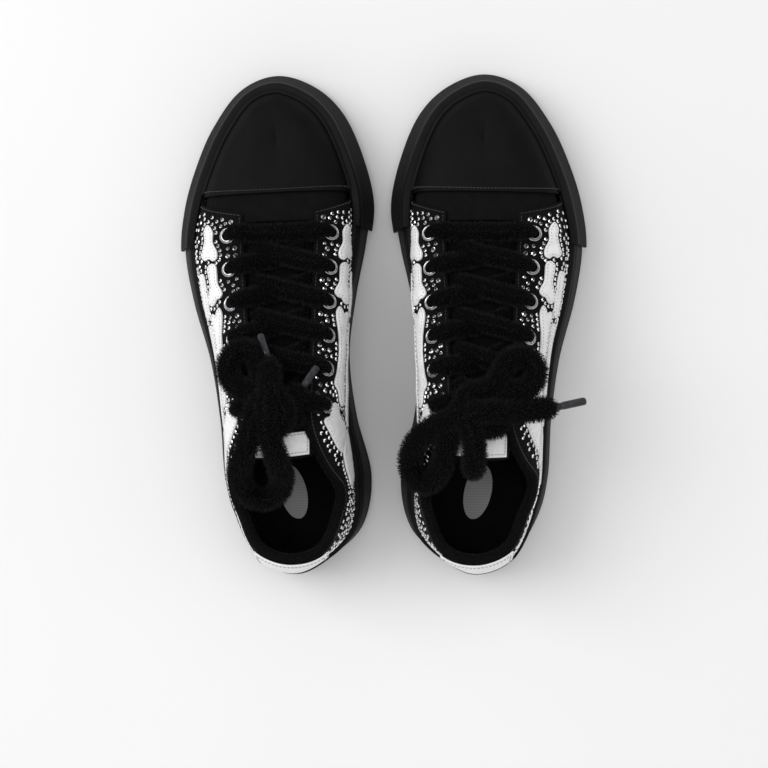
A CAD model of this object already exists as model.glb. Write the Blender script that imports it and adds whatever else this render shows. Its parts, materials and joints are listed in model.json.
import json
import math
import random
from functools import lru_cache

import bmesh
import bpy
from bpy.props import FloatProperty, IntProperty, PointerProperty
from mathutils import Matrix, Vector


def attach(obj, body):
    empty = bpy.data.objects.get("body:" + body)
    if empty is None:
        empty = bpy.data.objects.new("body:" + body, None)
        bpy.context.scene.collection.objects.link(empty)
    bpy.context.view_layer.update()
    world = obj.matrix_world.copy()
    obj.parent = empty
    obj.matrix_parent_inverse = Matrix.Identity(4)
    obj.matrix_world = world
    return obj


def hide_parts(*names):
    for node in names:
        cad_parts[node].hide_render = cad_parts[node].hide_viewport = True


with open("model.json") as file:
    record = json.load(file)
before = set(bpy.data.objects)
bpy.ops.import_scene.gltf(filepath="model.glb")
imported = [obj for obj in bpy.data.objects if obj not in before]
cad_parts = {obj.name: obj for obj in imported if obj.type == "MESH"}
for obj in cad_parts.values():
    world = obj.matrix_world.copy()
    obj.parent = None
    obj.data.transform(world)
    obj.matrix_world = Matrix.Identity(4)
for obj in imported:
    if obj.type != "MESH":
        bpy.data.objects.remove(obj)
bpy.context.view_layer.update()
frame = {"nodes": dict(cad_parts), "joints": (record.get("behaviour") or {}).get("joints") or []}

# A pair of low lace-up cheer shoes with vulcanised rubber soles, tied in bows. Metres, Z up, toes
# towards +Y. One shoe is worked out in its own frame: the heel near y = 0, x positive towards the
# outer (lateral) side. The left shoe is the mirror image of the right one.

bl_info = {
    "name": "Cheer shoes",
    "version": (1, 0, 0),
    "blender": (4, 5, 0),
    "location": "View3D > Sidebar > Cheer shoes",
    "description": "Builds a pair of lace-up cheer shoes on their frame",
    "category": "Object",
}

SHOES = ("left", "right")
LATERAL = 1
MEDIAL = -1
SIDES = (LATERAL, MEDIAL)
SIDE_NAME = {LATERAL: "outer", MEDIAL: "inner"}
MM = 0.001

# ---- driving dimensions -------------------------------------------------------------------------

GAP = 0.3 * MM
HEEL = (-0.0005, -0.0026)
TOE = (0.0005, 0.2752)
# The rubber wall's widest line, from the heel to the toe on each side.
OUTLINE = {
    LATERAL: [
        (0.020, 0.0055), (0.0345, 0.029), (0.040, 0.052), (0.0413, 0.084), (0.0453, 0.118),
        (0.0532, 0.151), (0.057, 0.180), (0.054, 0.204), (0.047, 0.226), (0.0365, 0.248),
        (0.0205, 0.268),
    ],
    MEDIAL: [
        (-0.0195, 0.006), (-0.037, 0.022), (-0.0429, 0.050), (-0.036, 0.084), (-0.0335, 0.118),
        (-0.0386, 0.151), (-0.0456, 0.181), (-0.0487, 0.204), (-0.0435, 0.230), (-0.034, 0.253),
        (-0.0195, 0.268),
    ],
}
LOOP = [HEEL, *OUTLINE[LATERAL], TOE, *reversed(OUTLINE[MEDIAL])]
TOE_STEP = len(OUTLINE[LATERAL]) + 1

# Heights of the sole's layers.
OUTSOLE_TOP = 3.6 * MM
LINER_BOTTOM = 16.8 * MM
FOXING_TOP = 29 * MM
BUMPER_TOP = 31 * MM
RUBBER = 3.2 * MM
BUMPER = 1.8 * MM
SKIRT_Z = 17 * MM
UPPER_Z = FOXING_TOP + GAP

# The upper's layers, as distances out from the lasting surface: (inner face, outer face).
LINING = (-0.9 * MM, 0.3 * MM)
VAMP = (0.4 * MM, 1.9 * MM)
QUARTER = (2.6 * MM, 4.0 * MM)
CAP = (2.5 * MM, 4.0 * MM)
STRIP = (4.7 * MM, 5.8 * MM)
TONGUE = (-6.8 * MM, -3.0 * MM)
LABEL = (-2.7 * MM, -1.9 * MM)

# Places along the shoe.
CAP_REAR = 0.2075
QUARTER_FRONT = (0.204, 0.196)
VAMP_REAR = 0.192
TONGUE_ENDS = (0.0645, 0.196)
TONGUE_ROOT = (0.0, 0.190, 0.043)
LABEL_ENDS = (0.0655, 0.0775)
LABEL_HALF = 0.016
COLLAR_STEP = 4
BUMPER_REAR = {LATERAL: 0.181, MEDIAL: 0.188}
# The collar's top edge on the lasting surface, at outline steps 0 to 3.
COLLAR_HEEL = (0, 0.0112, 0.0675)
COLLAR = {
    LATERAL: [
        COLLAR_HEEL, (0.0153, 0.0178, 0.066), (0.0223, 0.0325, 0.0615), (0.0275, 0.0525, 0.0595),
    ],
    MEDIAL: [
        COLLAR_HEEL, (-0.016, 0.0153, 0.066), (-0.0241, 0.0315, 0.0615), (-0.026, 0.048, 0.0595),
    ],
}

# Curves along the shoe, as (y, value).
LEAN = {
    LATERAL: [(0.008, 0), (0.035, 0.0034), (0.090, 0.003), (0.200, 0.0064), (0.240, 0.007)],
    MEDIAL: [
        (0.008, 0), (0.024, 0.003), (0.045, 0.006), (0.068, 0.0043), (0.100, 0.001),
        (0.150, 0.0015), (0.200, 0.0064), (0.240, 0.007),
    ],
}
SPINE = [
    (0.060, 0.099), (0.078, 0.0925), (0.089, 0.0875), (0.110, 0.0775), (0.147, 0.062),
    (0.184, 0.049), (0.203, 0.045), (0.220, 0.042), (0.238, 0.0385),
]
CROWN = [(0.088, 0.85), (0.184, 0.95), (0.238, 0.97)]
BULGE = {
    LATERAL: [(0.060, 0.0015), (0.110, 0.003), (0.160, 0.0015), (0.200, 0), (0.240, -0.0015)],
    MEDIAL: [
        (0.060, 0.005), (0.085, 0.012), (0.120, 0.019), (0.150, 0.016), (0.178, 0.0075),
        (0.195, 0.002), (0.215, 0), (0.240, -0.0015),
    ],
}
STAY = [(0.089, 0.0129), (0.184, 0.0188)]
TONGUE_HALF = [
    (0.064, 0.0195), (0.084, 0.022), (0.110, 0.024), (0.150, 0.022), (0.176, 0.016), (0.196, 0.014),
]
EYELETS = [
    (0.0268, 0.184), (0.0256, 0.1655), (0.0244, 0.147), (0.0232, 0.128), (0.022, 0.109),
    (0.0209, 0.0893),
]
EYELET_THICK = 0.9 * MM
LACE_R = 2 * MM
AGLET_R = 2.7 * MM

# ---- small helpers ------------------------------------------------------------------------------


def lerp(a, b, t):
    return a + (b - a) * t


def clamp(value, low=0.0, high=1.0):
    return max(low, min(high, value))


def smoothstep(value, low, high):
    """0 up to low, 1 from high on, with a smooth rise between."""
    t = clamp((value - low) / (high - low))
    return t * t * (3 - 2 * t)


def spread(first, last, count):
    """count + 1 even values from first to last."""
    return [lerp(first, last, i / count) for i in range(count + 1)]


def along(curve, y):
    """The value at y of a curve given as (y, value) pairs, level beyond its ends."""
    if y <= curve[0][0]:
        return curve[0][1]
    for (y0, v0), (y1, v1) in zip(curve, curve[1:]):
        if y < y1:
            return lerp(v0, v1, (y - y0) / (y1 - y0))
    return curve[-1][1]


def running_length(points):
    """For each point of a line, how far along the line it lies from the first."""
    total = [0.0]
    for a, b in zip(points, points[1:]):
        total.append(total[-1] + (b - a).length)
    return total


def catmull(a, b, c, d, t):
    """The point a share t of the way from b to c on a Catmull-Rom curve through a, b, c, d."""
    made = []
    for p, q, r, s in zip(a, b, c, d):
        slope0 = (r - p) / 2
        slope1 = (s - q) / 2
        cubic = 2 * q - 2 * r + slope0 + slope1
        square = 3 * r - 3 * q - 2 * slope0 - slope1
        made.append(((cubic * t + square) * t + slope0) * t + q)
    return made


def root(f, low, high):
    """x in [low, high] where the rising or falling function f passes through 0."""
    rising = f(high) > f(low)
    for _ in range(30):
        middle = (low + high) / 2
        if (f(middle) > 0) == rising:
            high = middle
        else:
            low = middle
    return (low + high) / 2


# ---- the sole's outline and the lasting surface ---------------------------------------------------


@lru_cache(maxsize=None)
def outline_point(u):
    """A point of the rubber wall's widest line, at u points on from the heel."""
    i = math.floor(u)
    return tuple(catmull(*(LOOP[(i + n) % len(LOOP)] for n in (-1, 0, 1, 2)), u - i))


def step_of(side, k):
    """The step k from the heel along one side, as the outline's own parameter."""
    return k if side == LATERAL else len(LOOP) - k


@lru_cache(maxsize=None)
def inward(u):
    """The unit direction into the shoe, square to the outline."""
    (x0, y0), (x1, y1) = outline_point(u - 0.01), outline_point(u + 0.01)
    length = math.hypot(x1 - x0, y1 - y0)
    return -(y1 - y0) / length, (x1 - x0) / length


def inset(u, base, lean_share):
    """The outline moved in by a distance that depends on how far the wall leans there."""
    x, y = outline_point(u)
    nx, ny = inward(u)
    d = base + lean_share * along(LEAN[LATERAL if x > 0 else MEDIAL], y)
    return x + nx * d, y + ny * d


@lru_cache(maxsize=None)
def foot(side, k):
    """The foot of the upper at step k of a side: its lower edge, the wall's rim and the way in."""
    u = step_of(side, k)
    skirt = inset(u, RUBBER + GAP + QUARTER[1] + 0.4 * MM, 0.6)
    rim = inset(u, RUBBER + GAP + QUARTER[1] + 0.1 * MM, 1)
    return Vector((*skirt, SKIRT_Z)), Vector((*rim, UPPER_Z)), Vector((*inward(u), 0))


@lru_cache(maxsize=None)
def arch_over_middle(side, k):
    """The arch across the shoe at step k: skirt, rim, control point and top on the middle line."""
    skirt, rim, way = foot(side, k)
    y = rim.y if rim.y < CAP_REAR else CAP_REAR + (rim.y - CAP_REAR) * 0.55
    top = Vector((0, y, along(SPINE, y)))
    control = rim - way * along(BULGE[side], rim.y)
    control.z = lerp(rim.z, top.z, along(CROWN, rim.y))
    return skirt, rim, control, top


def on_arch(arch, t):
    """A point of an arch: t from -1 at the skirt's edge, through 0 at the rim, to 1 at its top."""
    skirt, rim, control, top = arch
    if t < 0:
        return rim.lerp(skirt, -t)
    return rim.lerp(control, t).lerp(control.lerp(top, t), t)


def over_middle(side, k, t):
    """The lasting surface from side to side, as if it had no opening."""
    return on_arch(arch_over_middle(side, k), t)


def share_at(side, k, x):
    """Where the arch at step k is a given distance from the middle."""
    arch = arch_over_middle(side, k)
    return root(lambda t: abs(on_arch(arch, t).x) - abs(x), 0.2, 1)


@lru_cache(maxsize=None)
def stay_share(side, k):
    """Where the arch at step k meets the edge of the eyelet stay."""
    return share_at(side, k, along(STAY, foot(side, k)[1].y))


@lru_cache(maxsize=None)
def collar_key(side, i):
    """The upper's edge at a whole step: the collar's, then the stay's."""
    if i >= COLLAR_STEP:
        return tuple(on_arch(arch_over_middle(side, i), stay_share(side, i)))
    return COLLAR[-side if i < 0 else side][abs(i)]


def collar_edge(side, k):
    """The collar's edge at any step up to where it meets the stay."""
    i = min(math.floor(k), COLLAR_STEP - 1)
    return Vector(catmull(*(collar_key(side, i + n) for n in (-1, 0, 1, 2)), k - i))


@lru_cache(maxsize=None)
def arch_to_edge(side, k):
    """The upper's side at step k, up to the eyelet stay or, behind it, up to the collar's edge."""
    skirt, rim, control, top = arch_over_middle(side, k)
    cut = stay_share(side, max(k, COLLAR_STEP))
    lower = rim.lerp(control, cut)
    if k >= COLLAR_STEP:
        return skirt, rim, lower, on_arch((skirt, rim, control, top), cut)
    edge = collar_edge(side, k)
    upright = rim - foot(side, k)[2] * MM
    upright.z = lerp(rim.z, edge.z, 0.55)
    return skirt, rim, upright.lerp(lower, smoothstep(k, 2.5, COLLAR_STEP)), edge


def to_edge(side, k, t):
    """The lasting surface up one side only, t from -1 to 1 at the upper's edge."""
    return on_arch(arch_to_edge(side, k), t)


def out_of(f, side, k, t):
    """The unit direction out of a surface f(side, k, t)."""
    step = 0.02
    t1 = min(t + step, 1)
    ahead = f(side, k + step, t) - f(side, k - step, t)
    up = f(side, k, t1) - f(side, k, t1 - 2 * step)
    out = ahead.cross(up) * side
    if f is over_middle and t > 0.99:
        out.x = 0
    return out.normalized() if out.length > 0 else Vector((0, 0, 1))


def lifted(f, side, k, t, distance):
    return f(side, k, t) + out_of(f, side, k, t) * distance


@lru_cache(maxsize=None)
def step_at(side, y):
    """The step of a side whose rim is at y."""
    return root(lambda k: foot(side, k)[1].y - y, 1, TOE_STEP)


@lru_cache(maxsize=None)
def instep(x, y):
    """A point over the instep, x from the middle, and the direction out of the surface there."""
    side = MEDIAL if x < 0 else LATERAL
    k = step_at(side, y)
    t = 1 if abs(x) < 0.5 * MM else share_at(side, k, x)
    point = over_middle(side, k, t)
    point.x = x
    return point, out_of(over_middle, side, k, t)


def over_instep(x, y, distance):
    point, out = instep(x, y)
    return point + out * distance


# One side of the upper, by the run along it from the heel and the distance down from its edge.


@lru_cache(maxsize=None)
def arch_lengths(side, k):
    """How far each of the arch's even shares lies above the rim, along the surface."""
    return running_length([to_edge(side, k, t) for t in spread(0, 1, 24)])


def share_down(side, k, down):
    """The share t at a distance down from the edge."""
    total = arch_lengths(side, k)
    up = total[-1] - down
    if up <= 0:
        return up / (UPPER_Z - SKIRT_Z)
    for i in range(1, len(total)):
        if up <= total[i]:
            return (i - 1 + (up - total[i - 1]) / (total[i] - total[i - 1])) / (len(total) - 1)
    return 1.0


RUN_END = 9.2  # the outline step where the run along a side ends, in front of the quarter
RUN_PARTS = 184


@lru_cache(maxsize=None)
def run_lengths(side):
    """How far each of the run's even parts lies from the heel, a little above half way up."""
    return running_length([to_edge(side, max(k, 0.001), 0.6) for k in spread(0, RUN_END, RUN_PARTS)])


def step_of_run(side, run):
    """The step of a side at a distance along it from the heel."""
    total = run_lengths(side)
    for i in range(1, len(total)):
        if run <= total[i]:
            part = (run - total[i - 1]) / (total[i] - total[i - 1])
            return RUN_END * (i - 1 + part) / RUN_PARTS
    return RUN_END


def run_at(side, y):
    """The run along a side to the place whose rim is at y."""
    k = step_at(side, y)
    total = run_lengths(side)
    at = k / RUN_END * RUN_PARTS
    i = min(int(at), RUN_PARTS - 1)
    return lerp(total[i], total[i + 1], at - i)


def on_side(side, run, down, distance):
    """A place on one side, by its run from the heel, distance down from the edge and out."""
    k = round(step_of_run(side, run), 5)
    return lifted(to_edge, side, k, min(share_down(side, k, down), 1.0), distance)


# ---- where each shoe stands ---------------------------------------------------------------------

BODY = {shoe: f"{shoe}_shoe" for shoe in SHOES}
TONGUE_BODY = {shoe: f"{shoe}_tongue_body" for shoe in SHOES}


def stand_of(shoe):
    """The matrix that stands a shoe's own frame in the pair's frame, from its tongue's hinge."""
    hinge = next(j for j in frame["joints"] if j["name"] == f"{shoe}_tongue_bend")
    axis = hinge["axis"]
    turn = Matrix.Rotation(math.atan2(axis[1], axis[0]), 4, "Z")
    heel = Vector(hinge["pos_m"]) - turn @ Vector(TONGUE_ROOT)
    mirror = Matrix.Diagonal((-1 if shoe == "left" else 1, 1, 1, 1))
    return Matrix.Translation(heel) @ turn @ mirror


STAND = {shoe: stand_of(shoe) for shoe in SHOES}


# ---- meshes -------------------------------------------------------------------------------------

SHARP = math.radians(38)  # edges that turn more than this are shown sharp


class Shape:
    """Points, faces and a flat place in metres for each point, in one shoe's own frame."""

    def __init__(self):
        self.points = []
        self.faces = []
        self.flat = []

    def add(self, points, faces, flat=None):
        base = len(self.points)
        self.points += points
        self.faces += [[base + i for i in face] for face in faces]
        self.flat += flat or [(p[0], p[1]) for p in points]
        return self

    def add_skin(self, sections, flats=None, around=False, closed=False, capped=True):
        """Quads between sections of equal count, each a list of points."""
        n = len(sections[0])
        rows = len(sections)
        faces = []
        for i in range(rows if closed else rows - 1):
            a = i * n
            b = (i + 1) % rows * n
            for j in range(n if around else n - 1):
                k = (j + 1) % n
                faces.append([a + j, b + j, b + k, a + k])
        if capped and around and not closed:
            faces.append(list(range(n)))
            faces.append(list(reversed(range((rows - 1) * n, rows * n))))
        points = [p for section in sections for p in section]
        flat = [p for row in flats for p in row] if flats else None
        return self.add(points, faces, flat)

    def in_stand(self, shoe):
        """The same shape stood in the pair's frame."""
        stood = Shape()
        stood.points = [STAND[shoe] @ Vector(p) for p in self.points]
        stood.faces = [face[::-1] for face in self.faces] if shoe == "left" else self.faces
        stood.flat = self.flat
        return stood


def new_mesh(name, shape, outward=True):
    mesh = bpy.data.meshes.new(name)
    mesh.from_pydata([tuple(p) for p in shape.points], [], shape.faces)
    made = bmesh.new()
    made.from_mesh(mesh)
    layer = made.loops.layers.uv.new("flat")
    for face in made.faces:
        for loop in face.loops:
            loop[layer].uv = shape.flat[loop.vert.index]
    bmesh.ops.remove_doubles(made, verts=made.verts, dist=1e-6)
    if outward:
        bmesh.ops.recalc_face_normals(made, faces=made.faces)
    made.to_mesh(mesh)
    made.free()
    mesh.shade_smooth()
    mesh.set_sharp_from_angle(angle=SHARP)
    return mesh


def linked(name, mesh, material):
    piece = bpy.data.objects.new(name, mesh)
    mesh.materials.clear()
    mesh.materials.append(material)
    bpy.context.scene.collection.objects.link(piece)
    return piece


def shoe_piece(shoe, name, shape, material, body=None, replaces=(), outward=True):
    """A piece of one shoe, from a shape in the shoe's own frame."""
    mesh = new_mesh(f"{name}_{shoe}", shape.in_stand(shoe), outward)
    piece = linked(f"{name}_{shoe}", mesh, material)
    if replaces:
        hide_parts(*(f"{shoe}_{node}" for node in replaces))
    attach(piece, body or BODY[shoe])
    return piece


def folded(shares, layer, edge, turns=6):
    """A sheet's section as (share, distance): up its outer face, over its edge and back inside."""
    inner, outer = layer
    middle = (inner + outer) / 2
    radius = (outer - inner) / 2
    open_shares = [t for t in shares if t < 1 - edge]
    turn = []
    for a in spread(0, math.pi, turns):
        turn.append((1 - edge + edge * math.sin(a), middle + radius * math.cos(a)))
    up = [(t, outer) for t in open_shares]
    down = [(t, inner) for t in reversed(open_shares)]
    return up + turn + down


def resampled(points, pitch, closed=False):
    """Even steps of about one pitch along a line of points."""
    line = [Vector(p) for p in points]
    if closed:
        line.append(line[0])
    total = running_length(line)
    count = max(2, round(total[-1] / pitch))
    made = []
    i = 0
    for at in spread(0, total[-1], count)[: count if closed else count + 1]:
        while i + 2 < len(total) and total[i + 1] < at:
            i += 1
        made.append(line[i].lerp(line[i + 1], clamp((at - total[i]) / (total[i + 1] - total[i]))))
    return made


def smooth_loop(points, parts=5):
    """A closed line through the points with each span in some parts."""
    n = len(points)
    made = []
    for i in range(n):
        span = [points[(i + m) % n] for m in (-1, 0, 1, 2)]
        made += [catmull(*span, j / parts) for j in range(parts)]
    return made


def bezier_handles(points):
    """For each point, the two handles of a smooth line through all of them."""
    made = []
    for i, p in enumerate(points):
        before = points[max(i - 1, 0)]
        after = points[min(i + 1, len(points) - 1)]
        way = (after - before).normalized()
        made.append((p - way * (p - before).length / 3, p + way * (after - p).length / 3))
    return made


def bezier_line(points, parts=10):
    """The smooth line through the points, as many short steps."""
    handles = bezier_handles(points)
    made = []
    for i in range(len(points) - 1):
        a, b = points[i], points[i + 1]
        c, d = handles[i][1], handles[i + 1][0]
        for t in (j / parts for j in range(parts)):
            s = 1 - t
            made.append(a * s**3 + c * (3 * s * s * t) + d * (3 * s * t * t) + b * t**3)
    made.append(points[-1])
    return made


def swept(line, radius_at, sides):
    """Sections of a round tube along a line. radius_at is called with the share of the way."""
    sections = []
    flats = []
    side = None
    run = 0.0
    for i, p in enumerate(line):
        before = line[max(i - 1, 0)]
        after = line[min(i + 1, len(line) - 1)]
        way = (after - before).normalized()
        if side is None:
            side = way.orthogonal().normalized()
        side = (side - way * side.dot(way)).normalized()
        other = way.cross(side)
        run += (p - before).length
        radius = radius_at(i / (len(line) - 1))
        ring = []
        for a in spread(0, 2 * math.pi, sides)[:-1]:
            ring.append(p + side * (math.cos(a) * radius) + other * (math.sin(a) * radius))
        sections.append(ring)
        flats.append([(run, j / sides * 2 * math.pi * radius) for j in range(sides)])
    return sections, flats


def lathe(profile, sides):
    """Sections of a turned body about Z, from a profile of (radius, height)."""
    sections = []
    for a in spread(0, 2 * math.pi, sides)[:-1]:
        sections.append([Vector((r * math.cos(a), r * math.sin(a), z)) for r, z in profile])
    return Shape().add_skin(sections, around=True, closed=True)


# ---- geometry nodes: copies set on points, and pile -----------------------------------------------


def node_group(name, sockets):
    """A geometry node group with a mesh in, a mesh out and further named inputs."""
    group = bpy.data.node_groups.new(name, "GeometryNodeTree")
    group.interface.new_socket("Mesh", in_out="INPUT", socket_type="NodeSocketGeometry")
    group.interface.new_socket("Mesh", in_out="OUTPUT", socket_type="NodeSocketGeometry")
    for label, kind in sockets:
        group.interface.new_socket(label, in_out="INPUT", socket_type=f"NodeSocket{kind}")
    return group


def add_node(tree, kind, inputs=None, **settings):
    """A node with its settings, and its inputs by name or number: a value, or an output to link."""
    node = tree.nodes.new(kind)
    for name, value in settings.items():
        setattr(node, name, value)
    for name, value in (inputs or {}).items():
        if isinstance(value, bpy.types.NodeSocket):
            tree.links.new(value, node.inputs[name])
        else:
            node.inputs[name].default_value = value
    return node


def read_attribute(group, name, kind):
    return add_node(group, "GeometryNodeInputNamedAttribute", {"Name": name}, data_type=kind)


@lru_cache(maxsize=None)
def copies_group():
    """Sets a copy of a small part on each point, by its turn, size and shade attributes."""
    group = node_group("Copies_on_points", [("Part", "Object"), ("Finish", "Material")])
    given = add_node(group, "NodeGroupInput").outputs
    part = add_node(group, "GeometryNodeObjectInfo", {"Object": given["Part"]})
    turn = read_attribute(group, "turn", "FLOAT_VECTOR")
    size = read_attribute(group, "size", "FLOAT_VECTOR")
    points = add_node(group, "GeometryNodeMeshToPoints", {"Mesh": given["Mesh"]})
    placed = add_node(group, "GeometryNodeInstanceOnPoints", {
        "Points": points.outputs[0], "Instance": part.outputs["Geometry"],
        "Rotation": turn.outputs[0], "Scale": size.outputs[0],
    })
    return finish_group(group, placed.outputs[0], given["Finish"])


@lru_cache(maxsize=None)
def pile_group():
    """Stands short fibres out of a surface, each tilted at random."""
    group = node_group("Pile", [
        ("Fibre", "Object"), ("Density", "Float"), ("Tilt", "Float"), ("Shortest", "Float"),
        ("Seed", "Int"), ("Finish", "Material"),
    ])
    given = add_node(group, "NodeGroupInput").outputs
    part = add_node(group, "GeometryNodeObjectInfo", {"Object": given["Fibre"]})
    points = add_node(group, "GeometryNodeDistributePointsOnFaces", {
        "Mesh": given["Mesh"], "Density": given["Density"], "Seed": given["Seed"],
    })
    minus = add_node(group, "ShaderNodeMath", {0: given["Tilt"], 1: -1.0}, operation="MULTIPLY")
    lean = add_node(group, "FunctionNodeRandomValue", {
        "Min": minus.outputs[0], "Max": given["Tilt"], "Seed": given["Seed"],
    }, data_type="FLOAT_VECTOR")
    turned = add_node(group, "FunctionNodeRotateRotation", {
        0: points.outputs["Rotation"], 1: lean.outputs[0],
    }, rotation_space="LOCAL")
    size = add_node(group, "FunctionNodeRandomValue", {
        2: given["Shortest"], 3: 1.0, "Seed": given["Seed"],
    }, data_type="FLOAT")
    nap = read_attribute(group, "nap", "FLOAT")
    tall = add_node(group, "ShaderNodeMath", {
        0: size.outputs[1], 1: nap.outputs[0],
    }, operation="MULTIPLY")
    placed = add_node(group, "GeometryNodeInstanceOnPoints", {
        "Points": points.outputs[0], "Instance": part.outputs["Geometry"],
        "Rotation": turned.outputs[0], "Scale": tall.outputs[0],
    })
    return finish_group(group, placed.outputs[0], given["Finish"])


def finish_group(group, instances, material):
    """Ends a group: its instances made real, with their material set."""
    real = add_node(group, "GeometryNodeRealizeInstances", {"Geometry": instances})
    painted = add_node(group, "GeometryNodeSetMaterial", {
        "Geometry": real.outputs[0], "Material": material,
    })
    add_node(group, "NodeGroupOutput", {"Mesh": painted.outputs[0]})
    return group


def grown(base, group, **values):
    """The plain mesh that a node group makes from an object, with the group's inputs by name."""
    modifier = base.modifiers.new(group.name, "NODES")
    modifier.node_group = group
    for socket in group.interface.items_tree:
        if socket.name in values:
            modifier[socket.identifier] = values[socket.name]
    base.update_tag()
    depsgraph = bpy.context.evaluated_depsgraph_get()
    mesh = bpy.data.meshes.new_from_object(base.evaluated_get(depsgraph), depsgraph=depsgraph)
    base.modifiers.remove(modifier)
    return mesh


def unit_part(name, shape):
    """A small part to copy, which isn't shown itself."""
    part = bpy.data.objects.new(name, new_mesh(name, shape))
    bpy.context.scene.collection.objects.link(part)
    part.hide_render = True
    return part


def discard(*objects):
    for done in objects:
        bpy.data.objects.remove(done)


def frame_turn(out, ahead):
    """The Euler turn whose Z is out of the surface and whose X lies along ahead."""
    x_way = (ahead - out * ahead.dot(out)).normalized()
    return Matrix((x_way, out.cross(x_way), out)).transposed().to_euler()


def copies(shoe, name, spots, part_shape, material, flat_faces=False, body=None):
    """One mesh of many small parts. spots are (place, way out, way ahead, size) in the shoe's frame."""
    mesh = bpy.data.meshes.new("spots")
    stand = STAND[shoe]
    turn_only = stand.to_3x3()
    mesh.from_pydata([tuple(stand @ spot[0]) for spot in spots], [], [])
    turns = mesh.attributes.new("turn", "FLOAT_VECTOR", "POINT")
    sizes = mesh.attributes.new("size", "FLOAT_VECTOR", "POINT")
    for i, (_, out, ahead, size) in enumerate(spots):
        turns.data[i].vector = frame_turn(turn_only @ out, turn_only @ ahead)
        sizes.data[i].vector = size if hasattr(size, "__len__") else (size, size, size)
    base = linked("spots", mesh, material)
    part = unit_part("part", part_shape)
    if flat_faces:
        part.data.shade_flat()
    made = grown(base, copies_group(), Part=part, Finish=material)
    discard(base, part)
    piece = linked(f"{name}_{shoe}", made, material)
    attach(piece, body or BODY[shoe])
    return piece


def curled_fibre(length):
    """One fibre: a narrow ribbon that bows over and curls back at its tip."""
    width = 0.15 * MM
    sections = []
    for share, bow in ((0.0, 0.0), (0.6, 0.22), (0.95, 0.75)):
        half = width * (1 - 0.6 * share)
        middle = Vector((0, bow * length * 0.6, share * length))
        sections.append([middle - Vector((half, 0, 0)), middle + Vector((half, 0, 0))])
    return Shape().add_skin(sections)


def pile(shoe, name, under, material, length, density, tilt, seed, nap_at=None):
    """Fibres that stand out of a piece. nap_at gives the share of their length at a place."""
    nap = under.data.attributes.new("nap", "FLOAT", "POINT")
    for i, v in enumerate(under.data.vertices):
        nap.data[i].value = nap_at(v.co) if nap_at else 1.0
    fibre = unit_part("fibre", curled_fibre(length))
    made = grown(
        under, pile_group(), Fibre=fibre, Density=density, Tilt=math.radians(tilt),
        Shortest=0.55, Seed=seed, Finish=material,
    )
    discard(fibre)
    piece = linked(f"{name}_{shoe}", made, material)
    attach(piece, BODY[shoe])
    return piece


# ---- finishes -----------------------------------------------------------------------------------

WAVE = math.pi / 10  # a wave texture of scale 1 has this period


def srgb(code):
    """A colour from its sRGB hex code."""
    made = []
    for i in (1, 3, 5):
        c = int(code[i : i + 2], 16) / 255
        made.append(c / 12.92 if c <= 0.04045 else ((c + 0.055) / 1.055) ** 2.4)
    return (*made, 1.0)


def shader_of(material):
    return material.node_tree.nodes["Principled BSDF"]


def new_finish(name, roughness, metallic=0.0, **constants):
    """A new material with its constant values, given by their sockets' names."""
    material = bpy.data.materials.new(name)
    material.use_nodes = True
    shader = shader_of(material)
    shader.inputs["Roughness"].default_value = roughness
    shader.inputs["Metallic"].default_value = metallic
    for label, value in constants.items():
        shader.inputs[label.replace("_", " ")].default_value = value
    return material


def grain(material, size, detail=3.0, stretch=(1, 1, 1)):
    """A random height from 0 to 1 in lumps of about one size."""
    tree = material.node_tree
    place = add_node(tree, "ShaderNodeTexCoord")
    scaled = add_node(tree, "ShaderNodeMapping", {"Vector": place.outputs["Object"], "Scale": stretch})
    noise = add_node(tree, "ShaderNodeTexNoise", {
        "Vector": scaled.outputs[0], "Scale": 1 / size, "Detail": detail,
    })
    return noise.outputs[0]


def threads(material, pitch, direction, wobble=0.6):
    """Even ridges, one pitch apart, across one direction of the piece's own flat places."""
    tree = material.node_tree
    place = add_node(tree, "ShaderNodeUVMap", uv_map="flat")
    wave = add_node(tree, "ShaderNodeTexWave", {
        "Vector": place.outputs[0], "Scale": WAVE / pitch, "Distortion": wobble, "Detail": 1.0,
    }, bands_direction=direction)
    return wave.outputs["Fac"]


def mixed(material, a, b, operation="MULTIPLY"):
    """Two factors, or a factor and a number, put together."""
    return add_node(material.node_tree, "ShaderNodeMath", {0: a, 1: b}, operation=operation).outputs[0]


def tinted(material, factor, dark, light):
    """The base colour, from dark to light by a factor."""
    tree = material.node_tree
    ramp = add_node(tree, "ShaderNodeValToRGB", {"Fac": factor})
    ramp.color_ramp.elements[0].position = 0.3
    ramp.color_ramp.elements[1].position = 0.7
    ramp.color_ramp.elements[0].color = srgb(dark)
    ramp.color_ramp.elements[1].color = srgb(light)
    tree.links.new(ramp.outputs[0], shader_of(material).inputs["Base Color"])
    return material


def raised(material, height, distance):
    """Surface relief from a height of 0 to 1, a distance deep."""
    tree = material.node_tree
    bump = add_node(tree, "ShaderNodeBump", {
        "Height": height, "Distance": distance, "Strength": 1.0,
    })
    tree.links.new(bump.outputs[0], shader_of(material).inputs["Normal"])
    return material


@lru_cache(maxsize=None)
def sole_rubber():
    """Black vulcanised rubber: a dull skin with faint mould bloom and fine pitting."""
    made = new_finish("sole_rubber", 0.6, Specular_IOR_Level=0.13)
    tinted(made, grain(made, 9 * MM), "#0a0a0b", "#101011")
    return raised(made, grain(made, 0.5 * MM), 0.06 * MM)


@lru_cache(maxsize=None)
def cap_leather():
    """Smooth matte black microfibre leather: an even face with a very fine grain."""
    made = new_finish("cap_leather", 0.6, Specular_IOR_Level=0.09)
    tinted(made, grain(made, 14 * MM), "#080808", "#0c0c0c")
    return raised(made, grain(made, 0.35 * MM, 2.0), 0.04 * MM)


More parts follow.
